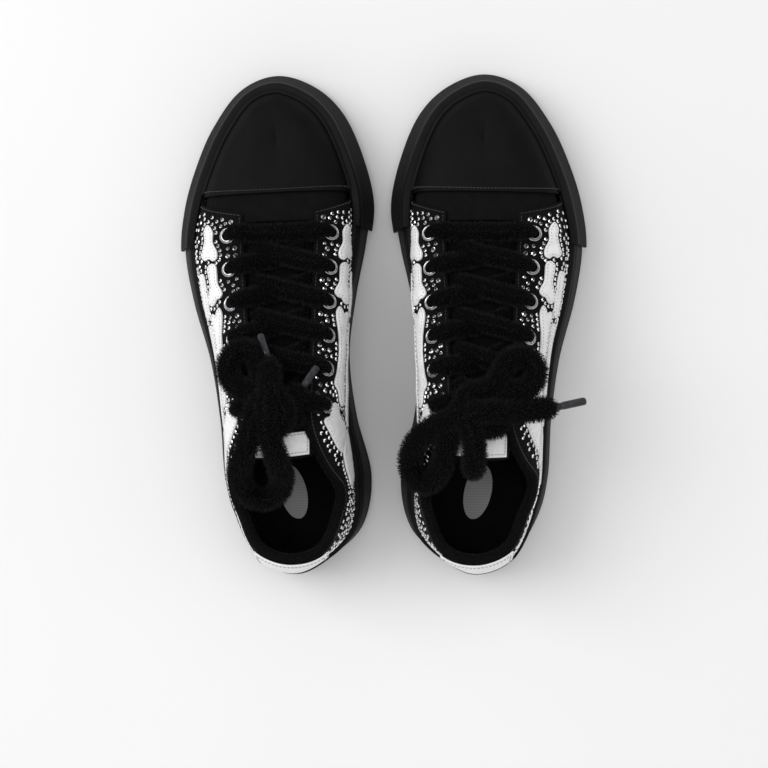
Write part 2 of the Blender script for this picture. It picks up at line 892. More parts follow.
@lru_cache(maxsize=None)
def upper_canvas():
    """Black tightly woven canvas: crossing yarns 0.7 mm apart."""
    made = new_finish("upper_canvas", 0.9, Specular_IOR_Level=0.15)
    weave = mixed(made, threads(made, 0.7 * MM, "X"), threads(made, 0.7 * MM, "Y"), "MAXIMUM")
    tinted(made, grain(made, 5 * MM), "#060606", "#0c0c0d")
    return raised(made, weave, 0.15 * MM)


@lru_cache(maxsize=None)
def tongue_knit():
    """Black ribbed knit of the tongue, with a soft nap."""
    made = new_finish("tongue_knit", 0.95, Specular_IOR_Level=0.12)
    tinted(made, grain(made, 3 * MM), "#060606", "#0d0d0e")
    ribs = mixed(made, threads(made, 0.5 * MM, "X"), grain(made, 0.4 * MM), "ADD")
    return raised(made, ribs, 0.15 * MM)


@lru_cache(maxsize=None)
def lining_fabric():
    """Black brushed lining: short nap that catches a little light at its edges."""
    made = new_finish("lining_fabric", 0.97, Specular_IOR_Level=0.1)
    tinted(made, grain(made, 2 * MM), "#060607", "#0e0e0f")
    return raised(made, grain(made, 0.5 * MM, 4.0), 0.3 * MM)


@lru_cache(maxsize=None)
def liner_fabric():
    """Black woven top cloth of the sock liner."""
    made = new_finish("liner_fabric", 0.95, Specular_IOR_Level=0.12)
    weave = mixed(made, threads(made, 0.9 * MM, "X"), threads(made, 0.9 * MM, "Y"), "MAXIMUM")
    tinted(made, grain(made, 6 * MM), "#070708", "#0d0d0e")
    return raised(made, weave, 0.15 * MM)


@lru_cache(maxsize=None)
def white_leather():
    """White coated leather: bright, softly glossy, with a fine pebble and faint handling marks."""
    made = new_finish("white_leather", 0.42, Specular_IOR_Level=0.45)
    tinted(made, grain(made, 4 * MM, 4.0), "#e9e9e8", "#f8f8f8")
    return raised(made, grain(made, 0.6 * MM, 2.0), 0.05 * MM)


@lru_cache(maxsize=None)
def label_cloth():
    """White woven label: fine satin threads across its width."""
    made = new_finish("label_cloth", 0.6, Sheen_Weight=0.2)
    tinted(made, grain(made, 3 * MM), "#ececec", "#fafafa")
    return raised(made, threads(made, 0.35 * MM, "Y", 0.2), 0.06 * MM)


def sewing_thread(name, dark, light):
    """Twisted sewing thread: slanting strands along each stitch."""
    made = new_finish(name, 0.6, Sheen_Weight=0.2)
    tinted(made, grain(made, 0.4 * MM), dark, light)
    return raised(made, grain(made, 0.15 * MM, 1.0), 0.05 * MM)


@lru_cache(maxsize=None)
def black_thread():
    return sewing_thread("black_thread", "#0a0a0b", "#2a2a2c")


@lru_cache(maxsize=None)
def grey_thread():
    return sewing_thread("grey_thread", "#8f8f92", "#c4c4c6")


@lru_cache(maxsize=None)
def crystal():
    """Foil-backed glass: bright crown facets round a darker flat table, no two stones alike."""
    made = new_finish("crystal", 0.12, 0.85, Specular_IOR_Level=0.8)
    tree = made.node_tree
    table = add_node(tree, "ShaderNodeAttribute", attribute_name="table").outputs["Fac"]
    island = add_node(tree, "ShaderNodeNewGeometry").outputs["Random Per Island"]
    varied = add_node(tree, "ShaderNodeMapRange", {"Value": island, "To Min": 0.0, "To Max": 0.35})
    speckle = mixed(made, grain(made, 0.5 * MM, 1.0), 0.12)
    own = mixed(made, varied.outputs[0], speckle, "ADD")
    darkness = mixed(made, mixed(made, table, 0.75), own, "ADD")
    return tinted(made, darkness, "#fbfbfd", "#38383c")


@lru_cache(maxsize=None)
def eyelet_metal():
    """Polished nickel-plated brass: brushed round its rim, slightly clouded."""
    made = new_finish("eyelet_metal", 0.22, 1.0)
    tinted(made, grain(made, 1.5 * MM), "#96979a", "#cfd0d2")
    return raised(made, grain(made, 0.25 * MM, 1.0), 0.02 * MM)


@lru_cache(maxsize=None)
def plush_core():
    """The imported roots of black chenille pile: dark between the fibres."""
    made = new_finish("plush_core", 1.0, Specular_IOR_Level=0.08)
    tinted(made, grain(made, 1.2 * MM, 4.0), "#020202", "#080808")
    return raised(made, grain(made, 0.8 * MM, 4.0), 0.9 * MM)


@lru_cache(maxsize=None)
def plush_fibre():
    """Black chenille fibres with greyer tips, seen one by one against what is behind."""
    made = new_finish("plush_fibre", 0.75, Specular_IOR_Level=0.22)
    return tinted(made, grain(made, 1.5 * MM, 4.0), "#070707", "#222224")


@lru_cache(maxsize=None)
def smoky_plastic():
    """Smoky acetate of the lace tips: glossy, half clear, with drawn streaks along it."""
    made = new_finish("smoky_plastic", 0.1, IOR=1.47, Transmission_Weight=0.3)
    tinted(made, grain(made, 2.5 * MM), "#1c1c1f", "#3c3c41")
    return raised(made, grain(made, 0.7 * MM, 1.0), 0.03 * MM)


@lru_cache(maxsize=None)
def midsole_foam():
    """Grey closed-cell foam: round cells cut through."""
    made = new_finish("midsole_foam", 0.95)
    tinted(made, grain(made, 1.5 * MM), "#38383a", "#47474a")
    return raised(made, grain(made, 0.8 * MM, 1.0), 0.3 * MM)


@lru_cache(maxsize=None)
def insole_fibreboard():
    """Pressed fibreboard: mottled brown-grey pulp with short fibres."""
    made = new_finish("insole_fibreboard", 0.95)
    tinted(made, grain(made, 1.5 * MM, 5.0, (1, 4, 1)), "#7d7466", "#9a9080")
    return raised(made, grain(made, 0.5 * MM), 0.1 * MM)


@lru_cache(maxsize=None)
def liner_print():
    """Grey ink printed on the sock liner, broken a little by the cloth's weave."""
    made = new_finish("liner_print", 0.75)
    tinted(made, threads(made, 0.9 * MM, "Y"), "#8a8a8c", "#a6a6a8")
    return raised(made, threads(made, 0.9 * MM, "X"), 0.05 * MM)


@lru_cache(maxsize=None)
def pale_floor():
    """A plain white studio sweep."""
    made = new_finish("pale_floor", 0.9, Specular_IOR_Level=0.1)
    return tinted(made, grain(made, 0.4), "#f1f1f1", "#f6f6f6")


# ---- laces --------------------------------------------------------------------------------------

# How far out from the lasting surface the lace's middle runs.
OVER_STAY = QUARTER[1] + EYELET_THICK + 2 * GAP + LACE_R
ON_TONGUE = TONGUE[1] + 2 * GAP + LACE_R
UNDER_STAY = (TONGUE[1] + QUARTER[0]) / 2
ON_VAMP = VAMP[1] + GAP + LACE_R
# The side from which the upper one of two crossing strands comes.
TOP_STRAND = {"left": LATERAL, "right": MEDIAL}
LAST = len(EYELETS) - 1

# Each bow's two free ends, from behind the last eyelet through the knot and round a loop to the
# lace tip, in the shoe's own frame.
BOW = {
    "left": {
        LATERAL: [
            (0.009, 0.081, 0.0925), (0.004, 0.0795, 0.0965), (-0.002, 0.083, 0.0985),
            (-0.0035, 0.09, 0.0992), (0.002, 0.0965, 0.0987), (0.009, 0.094, 0.0987),
            (0.013, 0.085, 0.1), (0.016, 0.075, 0.1), (0.02, 0.065, 0.095), (0.023, 0.055, 0.085),
            (0.02, 0.046, 0.0765), (0.012, 0.0425, 0.0735), (0.004, 0.046, 0.077),
            (0.0005, 0.054, 0.086), (0.001, 0.06, 0.095), (0.0023, 0.0675, 0.1008),
            (0.005, 0.076, 0.103), (0.006, 0.086, 0.104), (0.0045, 0.097, 0.1025),
            (0.0038, 0.107, 0.0955), (0.0047, 0.1157, 0.0885), (0.0091, 0.1298, 0.0815),
        ],
        MEDIAL: [
            (-0.006, 0.0855, 0.092), (0.001, 0.0895, 0.0938), (0.007, 0.0945, 0.094),
            (0.013, 0.099, 0.0923), (0.021, 0.102, 0.0885), (0.026, 0.1085, 0.086),
            (0.026, 0.116, 0.0842), (0.0205, 0.1215, 0.0832), (0.0135, 0.1205, 0.0842),
            (0.0095, 0.114, 0.0868), (0.008, 0.106, 0.0905), (0.003, 0.099, 0.0934),
            (-0.0035, 0.0945, 0.0948), (-0.0085, 0.0955, 0.0932), (-0.0122, 0.1, 0.09),
            (-0.0205, 0.1115, 0.0845),
        ],
    },
    "right": {
        LATERAL: [
            (0.009, 0.0815, 0.0925), (0.0035, 0.081, 0.0965), (-0.003, 0.084, 0.0985),
            (-0.0045, 0.09, 0.0992), (-0.01, 0.089, 0.0986), (-0.0145, 0.082, 0.097),
            (-0.017, 0.073, 0.0925), (-0.0185, 0.063, 0.0855), (-0.022, 0.054, 0.0775),
            (-0.029, 0.05, 0.073), (-0.035, 0.055, 0.0735), (-0.036, 0.064, 0.0765),
            (-0.032, 0.073, 0.084), (-0.024, 0.08, 0.0925), (-0.014, 0.0845, 0.1005),
            (-0.005, 0.0875, 0.1036), (0.004, 0.089, 0.103), (0.013, 0.089, 0.098),
            (0.022, 0.0895, 0.091), (0.031, 0.0905, 0.0855), (0.0389, 0.0913, 0.0825),
            (0.0559, 0.0952, 0.078),
        ],
        MEDIAL: [
            (-0.006, 0.0865, 0.092), (0.001, 0.091, 0.0938), (0.007, 0.0955, 0.094),
            (0.013, 0.0985, 0.0925), (0.0205, 0.1, 0.0895), (0.0268, 0.104, 0.087),
            (0.0285, 0.111, 0.0852), (0.024, 0.117, 0.0843), (0.0165, 0.1165, 0.0856),
            (0.0115, 0.1105, 0.088), (0.008, 0.1035, 0.0914), (0.002, 0.0995, 0.094),
            (-0.005, 0.098, 0.0958), (-0.0085, 0.0928, 0.0975), (-0.0075, 0.0855, 0.102),
            (-0.004, 0.077, 0.102), (-0.0028, 0.069, 0.101), (-0.003, 0.0615, 0.098),
            (-0.0031, 0.0565, 0.0915), (-0.0036, 0.0535, 0.075),
        ],
    },
}

# The plush body's radius and its fibres' length: laced, squeezed under a stay, and in the bow.
LACED_R = 4.4 * MM
SQUEEZED_R = 2.3 * MM
BOW_R = 5.2 * MM
LACED_FIBRE = 2.1 * MM
BOW_FIBRE = 2.7 * MM


def through_eyelet(side, i):
    """The way down through an eyelet and out from under the stay: (place, pile radius)."""
    x, y = EYELETS[i]
    edge = along(STAY, y)
    way = [
        (x - 6 * MM, y, OVER_STAY + 0.6 * MM, LACED_R), (x - 2 * MM, y, OVER_STAY, 3.2 * MM),
        (x - 0.8 * MM, y, QUARTER[1] + EYELET_THICK, 2.1 * MM), (x, y, QUARTER[0], 2.1 * MM),
        (x, y, UNDER_STAY, SQUEEZED_R), (x - 4 * MM, y - 2 * MM, UNDER_STAY, 2.5 * MM),
        (edge - 2.5 * MM, y - 5 * MM, UNDER_STAY, 2.6 * MM),
    ]
    return [(over_instep(side * a, b, c), radius) for a, b, c, radius in way]


def laced_half(start, top_side):
    """One half of the lace up to the last eyelet: half the front bar, then from side to side."""
    x0, y0 = EYELETS[0]
    bar = [
        (-start * 0.6 * MM, y0, ON_VAMP), (start * 10 * MM, y0, ON_VAMP + 0.4 * MM),
        (start * (x0 - 7 * MM), y0, OVER_STAY),
    ]
    route = [(over_instep(*place), LACED_R) for place in bar] + through_eyelet(start, 0)
    side = start
    for i in range(1, len(EYELETS)):
        y = EYELETS[i][1]
        before = EYELETS[i - 1][1]
        crossing = ON_TONGUE + (2 * LACE_R + GAP if side == top_side else 0.2 * MM)
        stay = along(STAY, y)
        across = [
            (side * 8 * MM, lerp(before - 5 * MM, y, 0.3), lerp(ON_TONGUE, crossing, 0.8)),
            (0, lerp(before - 5 * MM, y, 0.55), crossing),
            (
                -side * (stay - 5 * MM), lerp(before - 5 * MM, y, 0.8),
                lerp(crossing, OVER_STAY, 0.6),
            ),
            (-side * (stay - 0.5 * MM), y + MM, OVER_STAY + GAP),
        ]
        route += [(over_instep(*place), LACED_R) for place in across] + through_eyelet(-side, i)
        side = -side
    return route


def free_end(shoe, side):
    """The centre line of a bow's end, and the two ends of its tip."""
    first = through_eyelet(side, LAST)[-1][0]
    points = [Vector(p) for p in BOW[shoe][side]]
    route = [first, *points[:-1]]
    way = (points[-1] - route[-1]).normalized()
    return route, route[-1] + way * 3 * GAP, points[-1]


def build_laced_run(shoe, settings):
    """The laced part: both halves' plush, and its fibres, shorter near the eyelets."""
    shape = Shape()
    for start in SIDES:
        route = laced_half(start, TOP_STRAND[shoe])
        keys = [radius for _, radius in route]
        line = bezier_line([place for place, _ in route], 6)

        def radius_at(share, keys=keys):
            at = share * (len(keys) - 1)
            i = min(int(at), len(keys) - 2)
            return lerp(keys[i], keys[i + 1], at - i)

        shape.add_skin(*swept(line, radius_at, 12), around=True)
    piece = shoe_piece(shoe, "laced_run", shape, plush_core(), replaces=["lace"])
    holes = [STAND[shoe] @ spot[0] for side in SIDES for spot in eyelet_spots(side)]

    def nap_at(place):
        near = min((place - hole).length for hole in holes)
        return lerp(0.4, 1, smoothstep(near, 4 * MM, 9 * MM))

    pile(
        shoe, "laced_pile", piece, plush_fibre(), LACED_FIBRE,
        settings.pile_density, 34, settings.seed, nap_at,
    )


def build_free_end(shoe, number, side, settings):
    """One end of the bow: its core as a curve, its plush, its fibres and its tip."""
    route, tip_start, tip_end = free_end(shoe, side)
    stand = STAND[shoe]
    placed = [stand @ p for p in route]
    handles = bezier_handles(placed)
    curve = bpy.data.curves.new(f"lace_end_{number}_{shoe}", "CURVE")
    curve.dimensions = "3D"
    curve.bevel_depth = LACE_R
    curve.bevel_resolution = 3
    curve.resolution_u = 10
    curve.use_fill_caps = True
    spline = curve.splines.new("BEZIER")
    spline.bezier_points.add(len(placed) - 1)
    for point, place, (before, after) in zip(spline.bezier_points, placed, handles):
        point.co = place
        point.handle_left_type = "FREE"
        point.handle_right_type = "FREE"
        point.handle_left = before
        point.handle_right = after
    core = bpy.data.objects.new(curve.name, curve)
    curve.materials.append(plush_core())
    bpy.context.scene.collection.objects.link(core)
    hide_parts(f"{shoe}_lace")
    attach(core, BODY[shoe])

    line = bezier_line(route)
    body_shape = Shape().add_skin(*swept(line, bow_radius, 14), around=True)
    body = shoe_piece(shoe, f"bow_plush_{number}", body_shape, plush_core())
    fibres = pile(
        shoe, f"bow_pile_{number}", body, plush_fibre(), BOW_FIBRE,
        settings.pile_density, 36, settings.seed + number,
    )
    tip = build_tip(shoe, number, tip_start, tip_end)
    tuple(placed[0])
    running_length(line)[-1]


def bow_radius(share):
    """The plush swells out of the stay and thins where the tip grips it."""
    swollen = lerp(2.4 * MM, BOW_R, smoothstep(share, 0, 0.05))
    return swollen * lerp(1, 0.6, smoothstep(share, 0.97, 1))


def build_tip(shoe, number, start, end):
    """A smoky tube rolled round the lace's end, crimped near its mouth."""
    steps = 24
    line = [start.lerp(end, t) for t in spread(0, 1, steps)]

    def radius_at(share):
        mouth = smoothstep(share, 0, 0.06)
        crimp = math.exp(-(((share - 0.16) / 0.05) ** 2)) * 0.12
        nose = math.sqrt(clamp((1 - share) / 0.06))
        return AGLET_R * 0.78 * lerp(0.9, 1, mouth) * (1 - crimp) * max(nose, 0.05)

    shape = Shape().add_skin(*swept(line, radius_at, 20), around=True)
    return shoe_piece(
        shoe, f"lace_tip_{number}", shape, smoky_plastic(),
        replaces=[f"aglet_{number}"],
    )


# ---- the sole -----------------------------------------------------------------------------------


def outline_steps(count):
    """Even steps once round the outline from the heel."""
    return spread(0, len(LOOP), count)[:-1]


def lean_share(z):
    """How much of the wall's lean is reached at a height."""
    return clamp((z - 8 * MM) / (19 * MM)) * 0.9 + clamp((z - 27 * MM) / (2 * MM)) * 0.1


def band_shape(profile, steps, closed):
    """A band swept round the outline, from a profile of (distance in, share of the lean, height)."""
    sections = []
    flats = []
    run = 0.0
    before = None
    for u in steps:
        section = [Vector((*inset(u, base, share), z)) for base, share, z in profile]
        if before:
            run += (section[0] - before).length
        before = section[0]
        sections.append(section)
        flats.append([(run, j * 2 * MM) for j in range(len(profile))])
    return Shape().add_skin(sections, flats, around=True, closed=closed)


def build_outsole(shoe):
    """A flat plate with a plain rim round a sunk field of lugs."""
    rings = [
        (7.4 * MM, 1.4 * MM), (6.8 * MM, 0.3 * MM), (6.3 * MM, 0), (1.6 * MM, 0), (0.8 * MM, 0.6 * MM),
        (0.6 * MM, 1.2 * MM), (0.6 * MM, OUTSOLE_TOP),
    ]
    steps = outline_steps(220)
    sections = [[Vector((*inset(u, base, 0), z)) for u in steps] for base, z in rings]
    shape = Shape().add_skin(sections, around=True)
    shoe_piece(shoe, "outsole", shape, sole_rubber(), replaces=["outsole"])
    lug = lathe([(0, 0), (2.3 * MM, 0), (2.1 * MM, 1.1 * MM), (1.7 * MM, 1.4 * MM), (0, 1.4 * MM)], 6)
    pitch = 5.8 * MM
    spots = []
    for i in range(50):
        for j in range(-10, 11):
            place = Vector(((j + 0.5 * (i % 2)) * pitch, i * pitch * 0.87, 1.5 * MM))
            if inside_outline(place.x, place.y, 10 * MM):
                spots.append((place, Vector((0, 0, -1)), Vector((0, 1, 0)), 1.0))
    copies(shoe, "outsole_lugs", spots, lug, sole_rubber())


@lru_cache(maxsize=None)
def field_line(distance):
    return [inset(u, distance, 0) for u in outline_steps(120)]


def inside(x, y, line):
    """Whether a point lies inside a closed line."""
    hit = False
    for (x0, y0), (x1, y1) in zip(line, line[1:] + line[:1]):
        if (y0 > y) != (y1 > y) and x < x0 + (y - y0) / (y1 - y0) * (x1 - x0):
            hit = not hit
    return hit


def inside_outline(x, y, distance):
    return inside(x, y, field_line(distance))


def build_foxing(shoe):
    """The rubber wall round the sole, with two shallow moulded lines."""
    line_low = [(0.0, 9.0), (0.4, 9.4), (0.4, 10.0), (0.0, 10.4)]
    line_high = [(0.0, 25.0), (0.35, 25.4), (0.35, 25.9), (0.0, 26.3)]
    outer = [(0.3, 3.9), (0.05, 4.6), (0.0, 6.5), *line_low, (0.0, 15), (0.0, 20), *line_high]
    profile = [(base * MM, lean_share(z * MM), z * MM) for base, z in outer]
    profile += [
        (0.1 * MM, 0.93, 27.8 * MM), (0.4 * MM, 0.97, 28.6 * MM), (1.0 * MM, 1, FOXING_TOP),
        (RUBBER, 1, FOXING_TOP), (RUBBER + GAP, 0, OUTSOLE_TOP + GAP),
    ]
    shape = band_shape(profile, outline_steps(300), True)
    shoe_piece(shoe, "foxing_band", shape, sole_rubber(), replaces=["foxing_band"])


def build_bumper(shoe):
    """The ribbed second strip round the toe, whose top rolls in over the wall's."""
    gap = 2 * GAP
    out = gap + BUMPER

    def rear_of(side):
        def ahead_of_rear(k):
            return outline_point(step_of(side, k))[1] - BUMPER_REAR[side]

        return step_of(side, root(ahead_of_rear, 1, TOE_STEP))

    profile = [(0.5 * MM - out, 0, 5 * MM), (0.1 * MM - out, 0, 5.6 * MM)]
    rib_pitch = 2.4 * MM
    ribs = 9
    for i in range(ribs):
        z = 6.6 * MM + i * rib_pitch
        for part, depth in ((0.0, 0.45), (0.2, 0.05), (0.5, 0), (0.8, 0.05)):
            height = z + part * rib_pitch
            profile.append((depth * MM - out, lean_share(height), height))
    profile += [
        (0.1 * MM - out, lean_share(29.4 * MM), 29.4 * MM), (0.6 * MM - out, 1, 30.5 * MM),
        (-gap - 0.5 * MM, 1, BUMPER_TOP), (1.0 * MM, 1, 30.9 * MM), (2.3 * MM, 1, 30.6 * MM),
        (2.8 * MM, 1, 29.9 * MM), (2.8 * MM, 1, 29.1 * MM), (-gap, 1, 29.1 * MM),
        (-gap, 0, 8 * MM), (-gap, 0, 5 * MM),
    ]
    shape = band_shape(profile, spread(rear_of(LATERAL), rear_of(MEDIAL), 180), False)
    shoe_piece(shoe, "toe_bumper", shape, sole_rubber(), replaces=["toe_bumper"])


# ---- inside the shoe ----------------------------------------------------------------------------


def build_liner(shoe):
    """A soft footbed, dished towards its middle."""
    base = RUBBER + QUARTER[1] + 6 * GAP
    edge = [Vector((*inset(u, base, 0.85), 0)) for u in outline_steps(160)]

    def ring(share, z):
        made = []
        for p in edge:
            y = lerp(p.y, clamp(p.y, 0.04, 0.235), share)
            made.append(Vector((p.x * (1 - share), y, z)))
        return made

    # Each ring's share of the way in to the middle line, and its height in millimetres.
    rings = [
        (0, LINER_BOTTOM / MM), (0, 20.4), (0.01, 21.3), (0.035, 21.9), (0.08, 21.9), (0.2, 21.5),
        (0.4, 21.1), (0.6, 20.9), (0.8, 20.8), (0.97, 20.8),
    ]
    sections = [ring(share, z * MM) for share, z in rings]
    shape = Shape().add_skin(sections, around=True)
    liner = shoe_piece(
        shoe, "sock_liner", shape, liner_fabric(), replaces=["sock_liner"],
    )
    build_liner_oval(shoe)


def build_liner_oval(shoe):
    """The plain oval of grey print, a thin raised film on the footbed."""
    half_width, half_length, lift = 7.5 * MM, 15.5 * MM, 0.5 * MM
    middle = Vector((0.5 * MM, 43 * MM, 21.1 * MM + lift))
    tilt = math.radians(-12)
    mark = []
    for share in (1.0, 0.66, 0.33):
        loop = []
        for a in spread(0, 2 * math.pi, 48)[:-1]:
            x = half_width * share * math.cos(a)
            y = half_length * share * math.sin(a)
            z = 0.35 * MM * (share * math.cos(a)) ** 2
            loop.append(middle + Vector((
                x * math.cos(tilt) - y * math.sin(tilt), x * math.sin(tilt) + y * math.cos(tilt), z,
            )))
        mark.append(loop)
    under = [p - Vector((0, 0, 0.5 * MM)) for p in mark[0]]
    print_shape = Shape().add_skin([under, *mark], around=True)
    shoe_piece(shoe, "liner_oval", print_shape, liner_print())


def paint_hidden_pieces(shoe):
    """The pieces no one sees from outside keep their frame solids, each in its own finish."""
    for node, material in (
        ("midsole_filler", midsole_foam()), ("insole_board", insole_fibreboard()),
        ("heel_counter", insole_fibreboard()),
    ):
        mesh = frame["nodes"][f"{shoe}_{node}"].data
        mesh.materials.clear()
        mesh.materials.append(material)


# ---- the upper ----------------------------------------------------------------------------------

FULL = spread(-1, 1, 34)  # shares up a whole arch
STITCH = (1.5 * MM, 0.24 * MM)  # length and thread radius
STITCH_PITCH = 2.1 * MM


@lru_cache(maxsize=None)
def over_shape(rear_y, layer, rows=46):
    """A sheet over the shoe's middle, from a rear edge to the toe's tip."""
    steps = []
    for i, k in enumerate(spread(step_at(LATERAL, rear_y), TOE_STEP, rows)):
        medial = TOE_STEP if i == rows else step_at(MEDIAL, foot(LATERAL, k)[1].y)
        steps.append({LATERAL: k, MEDIAL: medial})
    places = [(MEDIAL, t) for t in FULL] + [(LATERAL, t) for t in reversed(FULL[:-1])]
    inner, outer = layer
    middle = (inner + outer) / 2
    radius = (outer - inner) / 2
    rows_made = []
    for a in spread(-math.pi / 2, math.pi / 2, 6):
        distance = middle + radius * math.sin(a)
        pull = 0.7 * MM * math.cos(a)
        row = []
        for side, t in places:
            k = steps[0][side] - pull / (28 * MM)
            row.append(lifted(over_middle, side, k, t, distance))
        rows_made.append(row)
    for step in steps[1:]:
        rows_made.append([lifted(over_middle, side, step[side], t, outer) for side, t in places])
    flats = []
    for row in rows_made:
        flats.append([(p.y, j * 2.4 * MM) for j, p in enumerate(row)])
    return Shape().add_skin(rows_made, flats)


def soften_ridge(shoe, mesh, passes=60):
    """Evens out the heights along the toe's middle line, where the two sides' arches meet."""
    to_own_frame = STAND[shoe].inverted()
    half, rear, front = 15 * MM, CAP_REAR + 3 * MM, 0.264
    made = bmesh.new()
    made.from_mesh(mesh)
    weights = {}
    for v in made.verts:
        own = to_own_frame @ v.co
        share = smoothstep(half - abs(own.x), 0, half) * smoothstep(own.y, rear, rear + 8 * MM)
        share *= smoothstep(front - own.y, 0, 8 * MM)
        if share > 0:
            weights[v] = share
    for _ in range(passes):
        heights = {}
        for v in weights:
            around = [edge.other_vert(v).co.z for edge in v.link_edges]
            heights[v] = sum(around) / len(around)
        for v, share in weights.items():
            v.co.z = lerp(v.co.z, heights[v], share)
    made.to_mesh(mesh)
    made.free()


def rows_track(f, places, distance):
    """A track of (place, way out) along a surface, from (side, step, share) places."""
    track = []
    for side, k, t in places:
        out = out_of(f, side, k, t)
        track.append((f(side, k, t) + out * distance, out))
    return track


def row_spots(track, pitch, size=1.0, start=0.5):
    """Spots at even steps along a track of (place, way out)."""
    spots = []
    due = pitch * start
    run = 0.0
    for (a, out_a), (b, out_b) in zip(track, track[1:]):
        step = (b - a).length
        while step > 0 and run + step >= due:
            t = (due - run) / step
            spots.append((a.lerp(b, t), out_a.lerp(out_b, t).normalized(), b - a, size))
            due += pitch
        run += step
    return spots


@lru_cache(maxsize=None)
def stitch_shape():
    """One stitch: a short bar with rounded, sunk ends, along X."""
    length, radius = STITCH
    line = [
        Vector((x * length, 0, radius * (1 - 2.2 * abs(2 * x) ** 3))) for x in spread(-0.5, 0.5, 6)
    ]
    return Shape().add_skin(*swept(line, lambda share: radius, 6), around=True)


def build_vamp(shoe):
    """The forepart, which shows behind the cap and runs on under it."""
    shape = over_shape(VAMP_REAR, VAMP)
    vamp = shoe_piece(shoe, "vamp", shape, upper_canvas(), replaces=["vamp"])
    soften_ridge(shoe, vamp.data)


def across_toe(y, lowest=0.0):
    """Places across the toe at one rim height, from side to side."""
    places = [(MEDIAL, step_at(MEDIAL, y), t) for t in spread(lowest, 0.98, 40)]
    return places + [(LATERAL, step_at(LATERAL, y), t) for t in reversed(spread(lowest, 0.98, 40))]


def build_cap(shoe):
    """The toe cap, its folded rear edge, its one row of stitches and the thin rim line."""
    shape = over_shape(CAP_REAR, CAP)
    cap = shoe_piece(shoe, "toe_cap", shape, cap_leather(), replaces=["toe_cap"])
    soften_ridge(shoe, cap.data)
    track = rows_track(over_middle, across_toe(CAP_REAR + 2.1 * MM), CAP[1])
    spots = row_spots(track, 1.95 * MM)
    copies(shoe, "cap_stitches", spots, stitch_shape(), black_thread())
    medial, lateral = (
        [(side, k, 0.03) for k in spread(step_at(side, CAP_REAR + MM), TOE_STEP - 0.02, 50)]
        for side in (MEDIAL, LATERAL)
    )
    rim = medial + lateral[::-1]
    line = [p for p, _ in rows_track(over_middle, rim, CAP[1] + 0.7 * MM)]
    welt = Shape().add_skin(*swept(line, lambda share: 1.4 * MM, 12), around=True)
    shoe_piece(shoe, "cap_welt", welt, sole_rubber())


@lru_cache(maxsize=None)
def quarter_shape(side):
    """One quarter from the heel seam to its front edge, which slopes across the last columns."""
    seam = 0.03
    low, high = (step_at(side, y) for y in QUARTER_FRONT)
    last = step_at(side, VAMP_REAR)
    section = folded(spread(-1, 1, 44), QUARTER, 0.02)
    columns = [(k, 0.0) for k in spread(seam, last, 120)] + [(last, s / 4) for s in range(1, 5)]
    sections = []
    flats = []
    for k, slope in columns:
        row = []
        flat = []
        for t, distance in section:
            at = lerp(k, lerp(low, high, max(t, 0)), slope)
            place = lifted(to_edge, side, at, t, distance)
            row.append(place)
            flat.append((place.y, t * 50 * MM))
        sections.append(row)
        flats.append(flat)
    return Shape().add_skin(sections, flats, around=True)


def eyelet_spots(side):
    """The six eyelets of one side as spots on the quarter."""
    spots = []
    for x, y in EYELETS:
        place, out = instep(side * x, y)
        spots.append((place + out * (QUARTER[1] + GAP / 2), out, Vector((0, 1, 0)), 1.0))
    return spots


def build_quarter(shoe, side):
    """One side of the upper, with its six lace holes cut through."""
    name = f"quarter_{SIDE_NAME[side]}"
    quarter = shoe_piece(
        shoe, name, quarter_shape(side), upper_canvas(), replaces=[name],
    )
    cutters = Shape()
    hole, half = 3.0 * MM, 6 * MM
    for place, out, _, _ in eyelet_spots(side):
        line = [place - out * half, place + out * half]
        cutters.add_skin(*swept(line, lambda share: hole, 24), around=True)
    cutter = linked("cutter", new_mesh("cutter", cutters.in_stand(shoe)), upper_canvas())
    cut = quarter.modifiers.new("cut", "BOOLEAN")
    cut.object = cutter
    cut.operation = "DIFFERENCE"
    cut.solver = "EXACT"
    depsgraph = bpy.context.evaluated_depsgraph_get()
    made = bpy.data.meshes.new_from_object(quarter.evaluated_get(depsgraph), depsgraph=depsgraph)
    quarter.modifiers.remove(cut)
    discard(cutter)
    made.name = quarter.name
    quarter.data = made


def build_seams(shoe, side):
    """The stitch rows along the front edge, and along the stay and the collar."""
    low, high = (step_at(side, y) for y in QUARTER_FRONT)
    back = 0.06
    front = [(side, lerp(low, high, t) - back, t) for t in spread(0.02, 0.96, 40)]
    spots = row_spots(rows_track(to_edge, front, QUARTER[1]), STITCH_PITCH)
    first = step_at(side, QUARTER_FRONT[1]) - 0.1
    stay = [(side, k, share_down(side, k, 1.6 * MM)) for k in spread(first, 1.05, 160)]
    spots += row_spots(rows_track(to_edge, stay, QUARTER[1]), STITCH_PITCH)
    name = f"seam_{SIDE_NAME[side]}"
    copies(shoe, name, spots, stitch_shape(), black_thread())


# ---- bones --------------------------------------------------------------------------------------

